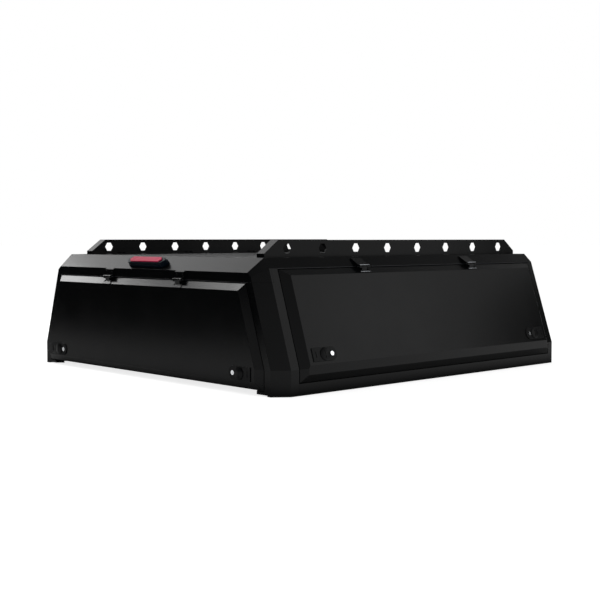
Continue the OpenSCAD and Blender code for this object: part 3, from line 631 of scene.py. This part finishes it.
@dataclass
class HingeHardware:
    """Button-head screws that hold the hinge leaves, and bright wires as painted glints on the
    side hinges.

    Attributes:
        axis: Place of the right hinge pin across the truck and its height.
        knuckle_r: Radius of a hinge knuckle.
        side_y: Places of the side hinges along the truck.
        rear_x: Places of the rear hinges across the truck.
        strap_t: Thickness of a leaf on the roof edge slope.
        strap_up: Distance of its screws up that slope.
        strap_spread: Distance of its screws from its middle.
        header_t: Thickness of a leaf on the rear header.
        header_z: Height of its screws.
        header_spread: Distance of its screws from its middle.
        leaf_t: Thickness of a leaf on a hatch.
        leaf_spread: Distance of its screws from its middle.
        side_down: Place of the screws on a side hatch, as a share of its upper bevel.
        rear_down: Place of the screws on the rear hatch, as a share of its upper bevel.
        wire_down: Place of the leaf glint wire on a side hatch, as a share of its upper bevel.
        wire_turn: Angle of the barrel glint wire round the pin, up from level.
        wire_gap: Gap between the barrel glint wire and the knuckle.
        wire_sunk: Height of the leaf glint wire's middle over its leaf, as a share of its radius.
        screw: Shape of every screw.
        wire: Shape of every wire.
    """

    axis: Pair = (0.67353, 0.431)
    knuckle_r: float = 0.007
    side_y: Pair = (BODY.hatch_mid - BODY.hinge_reach, BODY.hatch_mid + BODY.hinge_reach)
    rear_x: Pair = (-0.230, 0.230)
    strap_t: float = 0.004
    strap_up: float = 0.028
    strap_spread: float = 0.015
    header_t: float = 0.006
    header_z: float = 0.4025
    header_spread: float = 0.018
    leaf_t: float = 0.0025
    leaf_spread: float = 0.020
    side_down: float = 0.62
    rear_down: float = 0.60
    wire_down: float = 0.84
    wire_turn: float = math.radians(55)
    wire_gap: float = 0.0001
    wire_sunk: float = 0.5
    screw: ScrewHead = ScrewHead()
    wire: Wire = Wire()

    def build(self) -> None:
        """Makes the screws and wires, each on the body that carries them."""
        slope = self._slope_leaf().screw_places(self.side_y)
        hatch = self._hatch_leaf(self.side_down).screw_places(self.side_y)
        header = self._header_leaf().screw_places(self.rear_x)
        rear_hatch = self._rear_hatch_leaf().screw_places(self.rear_x)
        self._add_screws("right_slope_screws", "canopy", slope)
        self._add_screws("left_slope_screws", "canopy", on_left_side(slope))
        self._add_screws("right_hatch_screws", "right_door", hatch)
        self._add_screws("left_hatch_screws", "left_door", on_left_side(hatch))
        self._add_screws("rear_header_screws", "canopy", header)
        self._add_screws("rear_hatch_screws", "rear_door", rear_hatch)
        # Bright steel wires that stand in for the glints of the hinge barrels and hatch leaves: a
        # painted highlight.
        over_pin = self._wire_places(self._barrel_glint_wire_middle())
        self._add_glint_wires("right_barrel_glint_wires", "canopy", over_pin)
        self._add_glint_wires("left_barrel_glint_wires", "canopy", on_left_side(over_pin))
        on_leaf = self._wire_places(self._leaf_glint_wire_middle())
        self._add_glint_wires("right_leaf_glint_wires", "right_door", on_leaf)
        self._add_glint_wires("left_leaf_glint_wires", "left_door", on_left_side(on_leaf))

    def _add_screws(self, name: str, body: str, places: list[Matrix]) -> None:
        """Adds one set of screws."""
        screws = place_copies(self.screw.mesh(), places)
        add_piece(name, screws, HINGE_COAT, body)

    def _add_glint_wires(self, name: str, body: str, places: list[Matrix]) -> None:
        """Adds one set of glint wires, a painted highlight."""
        wires = place_copies(self.wire.mesh(), places)
        add_piece(name, wires, BRIGHT_STEEL, body)

    def _wire_places(self, middle: Vector) -> list[Matrix]:
        """Returns the place of a wire at each right hinge."""
        return [Matrix.Translation(middle + y * ALONG) for y in self.side_y]

    def _barrel_glint_wire_middle(self) -> Vector:
        """Works out where the wire that stands in for the glint on a right hinge barrel lies.

        Returns:
            Its middle, for a hinge at y = 0.
        """
        over = self.knuckle_r + self.wire.radius + self.wire_gap
        return Vector((self.axis[0] + over * math.cos(self.wire_turn), 0,
                       self.axis[1] + over * math.sin(self.wire_turn)))

    def _leaf_glint_wire_middle(self) -> Vector:
        """Returns the middle of the glint wire on a right hatch leaf, for a hinge at y = 0."""
        leaf = self._hatch_leaf(self.wire_down)
        return leaf.middle + self.wire_sunk * self.wire.radius * leaf.out

    def _slope_leaf(self) -> Leaf:
        """Works out the frame leaf on the right roof edge slope.

        Returns:
            The leaf.
        """
        foot = Vector((BODY.wall(BODY.side_top, 0.0), 0, BODY.side_top))
        up = Vector((-BODY.edge_run, 0, BODY.roof - BODY.side_top)).normalized()
        out = Vector((up.z, 0, -up.x))
        return Leaf(foot + self.strap_up * up + self.strap_t * out, out, ALONG, self.strap_spread)

    def _hatch_leaf(self, share: float) -> Leaf:
        """Works out the leaf on the upper bevel of the right hatch.

        Args:
            share: How far down the bevel its middle is taken.

        Returns:
            The leaf.
        """
        top = Vector((BODY.wall(BODY.hatch_top, 0.0), 0, BODY.hatch_top))
        low_z = BODY.hatch_top - BODY.bevel_top
        down = Vector((BODY.wall(low_z, -BODY.proud), 0, low_z)) - top
        out = Vector((-down.z, 0, down.x)).normalized()
        return Leaf(top + share * down + self.leaf_t * out, out, ALONG, self.leaf_spread)

    def _header_leaf(self) -> Leaf:
        """Returns the frame leaf on the upright band of the rear header."""
        middle = Vector((0, BODY.y_rear - self.header_t, self.header_z))
        return Leaf(middle, -ALONG, ACROSS, self.header_spread)

    def _rear_hatch_leaf(self) -> Leaf:
        """Works out the leaf on the upper bevel of the rear hatch.

        Returns:
            The leaf.
        """
        down = Vector((0, -BODY.proud, -BODY.rear_bevel_top))
        out = Vector((0, down.z, -down.y)).normalized()
        top = Vector((0, BODY.y_rear, BODY.rear_top))
        middle = top + self.rear_down * down + self.leaf_t * out
        return Leaf(middle, out, ACROSS, self.leaf_spread)


@dataclass
class LockHardware:
    """Enamelled bezels round the key cylinders of the turn locks.

    Attributes:
        lock_z: Height of the side locks.
        side_key_y: Key cylinder distance from the end of a side hatch.
        rear_lock_z: Height of the rear locks.
        rear_key_x: Key cylinder distance from the middle of the rear hatch.
        plate_t: Thickness of a lock plate.
        bore_r: Inner radius of a bezel.
        rim_r: Outer radius of a bezel.
        height: Height of a bezel.
        chamfer: Chamfer of its outer edge.
        steps: Steps of its full turn.
    """

    lock_z: float = 0.136
    side_key_y: float = 0.145
    rear_lock_z: float = 0.071
    rear_key_x: float = 0.554
    plate_t: float = 0.003
    bore_r: float = 0.0083
    rim_r: float = 0.0100
    height: float = 0.0010
    chamfer: float = 0.0005
    steps: int = 40

    def build(self) -> None:
        """Makes the bezel round every key cylinder."""
        for side in Side:
            bezels = place_copies(self._bezel(), self._places(side))
            add_piece(f"{side.value}_key_bezels", bezels, LOCK_COAT, f"{side.value}_door")

    def _bezel(self) -> bmesh.types.BMesh:
        """Spins the profile of one bezel about the z axis.

        Returns:
            The bezel, standing on z = 0.
        """
        profile = [(self.bore_r, 0.0), (self.rim_r, 0.0), (self.rim_r, self.height - self.chamfer),
                   (self.rim_r - self.chamfer, self.height), (self.bore_r, self.height)]
        mesh = bmesh.new()
        corners = [mesh.verts.new((r, 0, z)) for r, z in profile]
        edges = [mesh.edges.new((a, b)) for a, b in zip(corners, corners[1:] + corners[:1])]
        bmesh.ops.spin(mesh, geom=corners + edges, cent=(0, 0, 0), axis=(0, 0, 1), angle=math.tau,
                       steps=self.steps, use_merge=True)
        return mesh

    def _places(self, side: Side) -> list[Matrix]:
        """Works out the places of the two key cylinders on the lock plates of one hatch.

        Args:
            side: Which hatch.

        Returns:
            Frames with z out of the plate.
        """
        lift = Matrix.Translation((0, 0, self.plate_t))
        if side is Side.REAR:
            turn = Matrix.Rotation(QUARTER_TURN, 4, "X") @ lift
            y = BODY.y_rear - BODY.proud
            return [Matrix.Translation((x, y, self.rear_lock_z)) @ turn
                    for x in (-self.rear_key_x, self.rear_key_x)]
        ends = (BODY.hatch_y[0] + self.side_key_y, BODY.hatch_y[1] - self.side_key_y)
        right = [BODY.wall_frame(y, self.lock_z, -BODY.proud) @ lift for y in ends]
        return right if side is Side.RIGHT else on_left_side(right)


@dataclass
class LinerSwages:
    """Pressed stiffening swages on the inside of the hatch liners.

    Attributes:
        depth: Depth of the liner's inner face behind the body surface.
        height: Height of a swage.
        width: Width of a swage.
        side_length: Length of a swage on a side liner.
        side_z: Heights of the swages on a side liner.
        rear_length: Length of a swage on the rear liner.
        rear_z: Heights of the swages on the rear liner.
        rounding: Rounding of its edges, as a share of its height.
        round_steps: Steps of that rounding.
    """

    depth: float = 0.010
    height: float = 0.003
    width: float = 0.030
    side_length: float = 1.06
    side_z: Pair = (0.20, 0.30)
    rear_length: float = 0.70
    rear_z: Pair = (0.14, 0.26)
    rounding: float = 0.98
    round_steps: int = 4

    def build(self) -> None:
        """Makes two long swages on each side liner and on the rear liner."""
        inward = Matrix.Rotation(math.pi, 4, "X")
        right = [BODY.wall_frame(BODY.hatch_mid, z, self.depth) @ inward for z in self.side_z]
        self._add(Side.RIGHT, right, self.side_length)
        self._add(Side.LEFT, on_left_side(right), self.side_length)
        forward = Matrix.Rotation(-QUARTER_TURN, 4, "X")
        y = BODY.y_rear + self.depth
        rear = [Matrix.Translation((0, y, z)) @ forward for z in self.rear_z]
        self._add(Side.REAR, rear, self.rear_length)

    def _add(self, side: Side, places: list[Matrix], length: float) -> None:
        """Adds the swages of one hatch.

        Args:
            side: Which hatch.
            places: Frames on its liner, with z into the truck.
            length: Length of a swage.
        """
        mesh = bmesh.new()
        bmesh.ops.create_cube(mesh, size=1.0)
        bmesh.ops.scale(mesh, verts=mesh.verts, vec=(length, self.width, 2 * self.height))
        level = [e for e in mesh.edges if abs((e.verts[0].co - e.verts[1].co).z) < SAME_POINT]
        bmesh.ops.bevel(mesh, geom=level, offset=self.height * self.rounding, offset_type="OFFSET",
                        segments=self.round_steps, profile=0.5, affect="EDGES", material=-1)
        swages = place_copies(mesh, places)
        add_piece(f"{side.value}_liner_swages", swages, POWDER_INNER, f"{side.value}_door")


@dataclass(frozen=True)
class Softbox:
    """One rectangular soft lamp.

    Attributes:
        name: Name of the lamp.
        place: Where it stands.
        aim: Point that it faces.
        size: Width and height.
        watts: Power.
    """

    name: str
    place: Triple
    aim: Triple
    size: Pair
    watts: float

    def build(self) -> None:
        """Makes the lamp and turns it to its aim."""
        data = bpy.data.lights.new(self.name, "AREA")
        data.shape = "RECTANGLE"
        data.size, data.size_y = self.size
        data.energy = self.watts
        lamp = bpy.data.objects.new(self.name, data)
        lamp.location = self.place
        way = Vector(self.aim) - Vector(self.place)
        lamp.rotation_euler = way.to_track_quat("-Z", "Y").to_euler()
        bpy.context.scene.collection.objects.link(lamp)


@dataclass(frozen=True)
class Flag:
    """Upright black card that shows only in mirror images.

    Attributes:
        name: Name of the card.
        place: Its middle.
        turn: Its turn about the upright axis in degrees, clockwise from above.
        size: Width and height.
        colour: Hex colour of its felt.
    """

    name: str
    place: Triple
    turn: float
    size: Pair
    colour: str = "#0a0a0a"

    def build(self) -> None:
        """Makes the card and hides it from the eye and from soft light."""
        mesh = bmesh.new()
        # A card one metre square, which the frame below scales and stands up.
        bmesh.ops.create_grid(mesh, x_segments=1, y_segments=1, size=0.5)
        turn = Matrix.Rotation(math.radians(-self.turn), 4, "Z")
        upright = turn @ Matrix.Rotation(QUARTER_TURN, 4, "X")
        stand = Matrix.Translation(self.place) @ upright @ Matrix.Diagonal((*self.size, 1, 1))
        bmesh.ops.transform(mesh, matrix=stand, verts=mesh.verts)
        mat = empty_material("black felt")
        felt = add_node(mat.node_tree, "ShaderNodeBsdfDiffuse",
                        {"Color": linear(self.colour)}).outputs[0]
        add_node(mat.node_tree, "ShaderNodeOutputMaterial", {}, {"Surface": felt})
        flag = new_object(self.name, mesh, mat)
        flag.visible_camera = flag.visible_diffuse = flag.visible_shadow = False


@dataclass(frozen=True)
class Floor:
    """Pale floor, white to the eye; in mirror images a painted shade dims it near the canopy and
    to the left.

    Attributes:
        half: Half its width.
        colour: Hex colour of its matte surface.
        direct: Glow as seen by the eye.
        soft: Glow as a soft light.
        squeeze: Share of a distance along the truck that counts in the painted shade round the
            canopy.
        painted_shade_fade: Distances from the middle where the mirrored glow starts and is full;
            the painted shade lies inside.
        across: Places across the truck where the full glow is least and most, a painted shade to
            the left.
        full: That least and most glow.
    """

    half: float = 60.0
    colour: str = "#c4c4c4"
    direct: float = 0.80
    soft: float = 0.0
    squeeze: float = 0.88
    painted_shade_fade: Pair = (0.80, 1.02)
    across: Pair = (-1.2, 1.0)
    full: Pair = (0.1, 1.0)

    def build(self) -> None:
        """Makes the floor that the canopy stands on."""
        mesh = bmesh.new()
        bmesh.ops.create_grid(mesh, x_segments=1, y_segments=1, size=self.half)
        mat = empty_material("pale studio floor")
        tree = mat.node_tree
        matte = add_node(tree, "ShaderNodeBsdfDiffuse", {"Color": linear(self.colour)}).outputs[0]
        strength = strength_by_ray(tree, self.soft, self._mirrored_glow_with_painted_shade(tree), self.direct)
        glow = add_node(tree, "ShaderNodeEmission", {"Color": linear("#ffffff")},
                        {"Strength": strength}).outputs[0]
        both = add_node(tree, "ShaderNodeAddShader", {}, {0: matte, 1: glow}).outputs[0]
        add_node(tree, "ShaderNodeOutputMaterial", {}, {"Surface": both})
        floor = new_object("floor", mesh, mat)

    def _mirrored_glow_with_painted_shade(self, tree: bpy.types.NodeTree) -> bpy.types.NodeSocket:
        """Makes the glow in mirror images, with painted shade: dim near the canopy and to the
        left, it grows away from the canopy and to the right.

        Args:
            tree: Node tree of the floor.

        Returns:
            The strength of the glow.
        """
        place = add_node(tree, "ShaderNodeTexCoord").outputs["Object"]
        scaled = add_node(tree, "ShaderNodeMapping", {"Scale": (1.0, self.squeeze, 1.0)},
                          {"Vector": place}).outputs[0]
        far = add_node(tree, "ShaderNodeVectorMath", {"operation": "ABSOLUTE"},
                       {0: scaled}).outputs[0]
        sides = add_node(tree, "ShaderNodeSeparateXYZ", {}, {0: far}).outputs
        away = add_node(tree, "ShaderNodeMath", {"operation": "MAXIMUM"},
                        {0: sides["X"], 1: sides["Y"]}).outputs[0]
        across = add_node(tree, "ShaderNodeSeparateXYZ", {}, {0: place}).outputs["X"]
        # Painted shade: the mirrored glow is dimmer towards the left.
        full = add_node(tree, "ShaderNodeMapRange",
                        {"From Min": self.across[0], "From Max": self.across[1],
                         "To Min": self.full[0], "To Max": self.full[1]},
                        {"Value": across}).outputs[0]
        # Painted shade: the mirrored glow is dark near the canopy, standing in for its shadow.
        return add_node(tree, "ShaderNodeMapRange",
                        {"From Min": self.painted_shade_fade[0], "From Max": self.painted_shade_fade[1]},
                        {"Value": away, "To Max": full}).outputs[0]


@dataclass(frozen=True)
class Surround:
    """White surround, dimmer as a soft light, with a dim ceiling in mirror images.

    Attributes:
        direct: Strength as seen by the eye.
        soft: Strength as a soft light.
        rise: Upward parts of a direction where the walls end and the ceiling starts.
        mirrored: Strength of the walls and of the ceiling in mirror images.
    """

    direct: float = 1.0
    soft: float = 0.40
    rise: Pair = (0.38, 0.56)
    mirrored: Pair = (1.0, 0.15)

    def build(self) -> None:
        """Makes the world."""
        world = bpy.data.worlds.new("studio")
        bpy.context.scene.world = world
        world.use_nodes = True
        tree = world.node_tree
        tree.nodes.clear()
        way = add_node(tree, "ShaderNodeTexCoord").outputs["Generated"]
        height = add_node(tree, "ShaderNodeSeparateXYZ", {}, {0: way}).outputs["Z"]
        walls = add_node(tree, "ShaderNodeMapRange",
                         {"From Min": self.rise[0], "From Max": self.rise[1],
                          "To Min": self.mirrored[0], "To Max": self.mirrored[1]},
                         {"Value": height}).outputs[0]
        strength = strength_by_ray(tree, self.soft, walls, self.direct)
        sky = add_node(tree, "ShaderNodeBackground", {"Color": linear("#ffffff")},
                       {"Strength": strength}).outputs[0]
        add_node(tree, "ShaderNodeOutputWorld", {}, {"Surface": sky})


@dataclass(frozen=True)
class Camera:
    """Camera at the photograph's viewing angle.

    Attributes:
        azimuth: Azimuth in degrees, from the rear towards the right side.
        elevation: Elevation in degrees.
        place: Where it stands.
        lens_mm: Focal length.
        sensor_mm: Width of the sensor.
        reach: Furthest distance that it sees.
    """

    azimuth: float = 46.9
    elevation: float = 3.2167
    place: Triple = (3.49454, -3.24455, 0.53645)
    lens_mm: float = 66.40
    sensor_mm: float = 36.0
    reach: float = 200.0

    def build(self) -> None:
        """Makes the camera and puts it in charge."""
        a, e = math.radians(self.azimuth), math.radians(self.elevation)
        back = Vector((math.sin(a) * math.cos(e), -math.cos(a) * math.cos(e), math.sin(e)))
        data = bpy.data.cameras.new("camera")
        data.lens = self.lens_mm
        data.sensor_width = self.sensor_mm
        data.sensor_fit = "HORIZONTAL"
        data.clip_end = self.reach
        cam = bpy.data.objects.new("camera", data)
        cam.location = self.place
        cam.rotation_euler = (-back).to_track_quat("-Z", "Y").to_euler()
        bpy.context.scene.collection.objects.link(cam)
        bpy.context.scene.camera = cam


SOFTBOXES = (
    # Long softbox high on the far left: its mirror image lies in the rear header slope.
    Softbox("left softbox", (-3.6, -0.4, 2.9), (0.0, -0.75, 0.42), (3.4, 2.6), 52.0),
    # Two smaller ones: their mirror images lie in the two ends of the rear hatch's top bevel.
    Softbox("low left softbox", (-3.4, -1.2, 2.0), (-0.4, -0.8, 0.40), (1.2, 0.7), 25.0),
    Softbox("high left softbox", (-3.1, -1.65, 3.6), (0.5, -0.8, 0.40), (0.9, 0.7), 18.0),
    # Soft fill at the right front: its mirror image lies in the rear half of the side hatch.
    Softbox("right fill", (4.65, 3.85, 2.65), (0.7, -0.4, 0.25), (2.0, 2.0), 10.5),
    # Light over the roof.
    Softbox("top light", (0.4, -0.2, 4.2), (0.0, 0.0, 0.45), (3.0, 3.0), 14.0),
)

FLAGS = (
    # Darkens the rear hatch.
    Flag("left rear flag", (-1.8, -1.72, 0.9), 12.0, (5.2, 1.8)),
    # Darkens the upper end of the corner post.
    Flag("hanging flag", (1.75, -2.47, 1.55), 12.0, (2.2, 1.4)),
    # Darkens the front end of the side hatch.
    Flag("right front flag", (1.9, 4.2, 0.84), 0.0, (2.8, 1.68)),
    # Darkens the roof.
    Flag("left front flag", (-2.6, 2.4, 0.7), -47.0, (3.2, 1.0)),
)


@dataclass
class Studio:
    """Camera, pale floor, white surround, soft lamps and black flags.

    Attributes:
        camera: The camera.
        floor: The floor.
        surround: The world.
        softboxes: The lamps.
        flags: The black cards.
    """

    camera: Camera = Camera()
    floor: Floor = Floor()
    surround: Surround = Surround()
    softboxes: tuple[Softbox, ...] = SOFTBOXES
    flags: tuple[Flag, ...] = FLAGS

    def build(self) -> None:
        """Makes everything round the canopy."""
        for part in (self.camera, self.floor, self.surround, *self.softboxes, *self.flags):
            part.build()


def main() -> None:
    """Builds every class in order."""
    logging.basicConfig(level=logging.INFO)
    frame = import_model()
    bpy.context.scene.view_settings.view_transform = "Standard"
    Studio().build()
    Solids(frame).dress()
    HingeHardware().build()
    LockHardware().build()
    LinerSwages().build()


if __name__ == "__main__":
    main()
